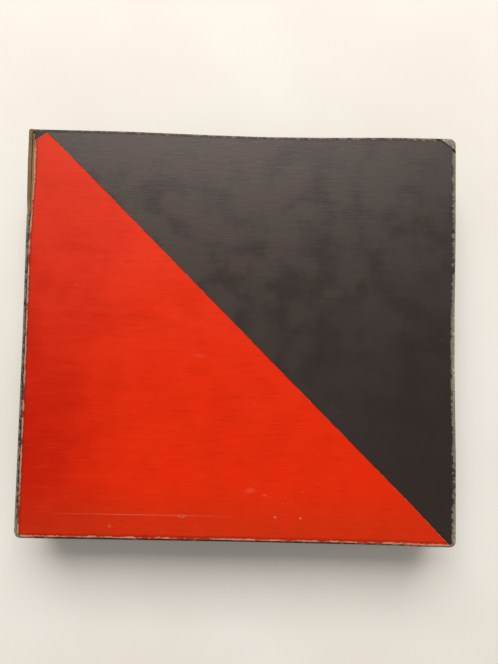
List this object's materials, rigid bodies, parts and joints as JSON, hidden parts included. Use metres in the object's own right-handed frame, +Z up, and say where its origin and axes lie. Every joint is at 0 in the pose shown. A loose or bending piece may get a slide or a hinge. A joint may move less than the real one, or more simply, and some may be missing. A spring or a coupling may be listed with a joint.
{
  "type": "boxed fleet guessing game",
  "caption": "Two-piece set-up box with a red and black diagonal lid; inside are sea boards with hinged screens, toy ships in slotted berths, markers and a leaflet.",
  "frame": {"origin": "middle of the underside, on the table", "axes": "+X along the long side, from the red player's end to the black player's end; +Z up; the picture's lower edge is at -Y"},
  "size_m": [0.28, 0.264, 0.044],
  "materials": {
    "greyboard": "bare grey straw board",
    "kraft": "kraft paper, gummed",
    "black_paper": "black covering paper, satin, worn at the edges",
    "red_paper": "red laid paper, satin, scuffed at the edges",
    "card": "buff folding card",
    "sea_print": "printed sea grids on board",
    "screen_paper": "dark blue paper on board",
    "book_cloth": "black woven hinge cloth",
    "red_ship": "red painted wood",
    "black_ship": "black painted wood",
    "hit_card": "red punched card",
    "miss_card": "white punched card",
    "leaflet_paper": "aged cream paper"
  },
  "bodies": {
    "base": {"base_board": "greyboard", "base_corner_stays": "kraft", "base_wrap": "black_paper", "base_bottom_sheet": "black_paper", "left_platform": "card", "right_platform": "card", "fleet_tray": "card", "lane_divider": "card", "cross_dividers": "card", "left_sea_board": "sea_print", "right_sea_board": "sea_print", "left_case_tape": "book_cloth", "right_case_tape": "book_cloth", "hit_counters": "hit_card", "miss_counters": "miss_card"},
    "lid": {"lid_board": "greyboard", "lid_corner_stays": "kraft", "lid_wrap": "black_paper", "lid_facing_red": "red_paper", "lid_facing_black": "black_paper"},
    "leaflet": {"rules_leaflet": "leaflet_paper"},
    "left_screen": {"left_screen": "screen_paper", "left_screen_tape": "book_cloth"},
    "right_screen": {"right_screen": "screen_paper", "right_screen_tape": "book_cloth"},
    "red_carrier": {"red_carrier": "red_ship"},
    "red_battleship": {"red_battleship": "red_ship"},
    "red_cruiser": {"red_cruiser": "red_ship"},
    "red_submarine": {"red_submarine": "red_ship"},
    "red_destroyer": {"red_destroyer": "red_ship"},
    "black_carrier": {"black_carrier": "black_ship"},
    "black_battleship": {"black_battleship": "black_ship"},
    "black_cruiser": {"black_cruiser": "black_ship"},
    "black_submarine": {"black_submarine": "black_ship"},
    "black_destroyer": {"black_destroyer": "black_ship"}
  },
  "joints": [
    {"name": "lid_lift", "type": "slide", "parent": "base", "child": "lid", "axis": [0, 0, 1], "range_m": [0, 0.22]},
    {"name": "leaflet_lift", "type": "slide", "parent": "base", "child": "leaflet", "axis": [0, 0, 1], "range_m": [0, 0.18]},
    {"name": "left_screen_fold", "type": "hinge", "parent": "base", "child": "left_screen", "pos_m": [-0.02, 0, 0.0334], "axis": [0, 1, 0], "range_deg": [0, 90]},
    {"name": "right_screen_fold", "type": "hinge", "parent": "base", "child": "right_screen", "pos_m": [0.02, 0, 0.0334], "axis": [0, -1, 0], "range_deg": [0, 90]},
    {"name": "red_carrier_lift", "type": "slide", "parent": "base", "child": "red_carrier", "axis": [0, 0, 1], "range_m": [0, 0.055]},
    {"name": "red_battleship_lift", "type": "slide", "parent": "base", "child": "red_battleship", "axis": [0, 0, 1], "range_m": [0, 0.055]},
    {"name": "red_cruiser_lift", "type": "slide", "parent": "base", "child": "red_cruiser", "axis": [0, 0, 1], "range_m": [0, 0.055]},
    {"name": "red_submarine_lift", "type": "slide", "parent": "base", "child": "red_submarine", "axis": [0, 0, 1], "range_m": [0, 0.055]},
    {"name": "red_destroyer_lift", "type": "slide", "parent": "base", "child": "red_destroyer", "axis": [0, 0, 1], "range_m": [0, 0.055]},
    {"name": "black_carrier_lift", "type": "slide", "parent": "base", "child": "black_carrier", "axis": [0, 0, 1], "range_m": [0, 0.055]},
    {"name": "black_battleship_lift", "type": "slide", "parent": "base", "child": "black_battleship", "axis": [0, 0, 1], "range_m": [0, 0.055]},
    {"name": "black_cruiser_lift", "type": "slide", "parent": "base", "child": "black_cruiser", "axis": [0, 0, 1], "range_m": [0, 0.055]},
    {"name": "black_submarine_lift", "type": "slide", "parent": "base", "child": "black_submarine", "axis": [0, 0, 1], "range_m": [0, 0.055]},
    {"name": "black_destroyer_lift", "type": "slide", "parent": "base", "child": "black_destroyer", "axis": [0, 0, 1], "range_m": [0, 0.055]}
  ],
  "couplings": [
    {"joint": "leaflet_lift", "follows": "lid_lift", "ratio": 0.8},
    {"joint": "left_screen_fold", "follows": "lid_lift", "rad_per_m": 7.139},
    {"joint": "right_screen_fold", "follows": "lid_lift", "rad_per_m": 7.139},
    {"joint": "red_carrier_lift", "follows": "lid_lift", "ratio": 0.25},
    {"joint": "red_battleship_lift", "follows": "lid_lift", "ratio": 0.25},
    {"joint": "red_cruiser_lift", "follows": "lid_lift", "ratio": 0.25},
    {"joint": "red_submarine_lift", "follows": "lid_lift", "ratio": 0.25},
    {"joint": "red_destroyer_lift", "follows": "lid_lift", "ratio": 0.25},
    {"joint": "black_carrier_lift", "follows": "lid_lift", "ratio": 0.25},
    {"joint": "black_battleship_lift", "follows": "lid_lift", "ratio": 0.25},
    {"joint": "black_cruiser_lift", "follows": "lid_lift", "ratio": 0.25},
    {"joint": "black_submarine_lift", "follows": "lid_lift", "ratio": 0.25},
    {"joint": "black_destroyer_lift", "follows": "lid_lift", "ratio": 0.25}
  ]
}
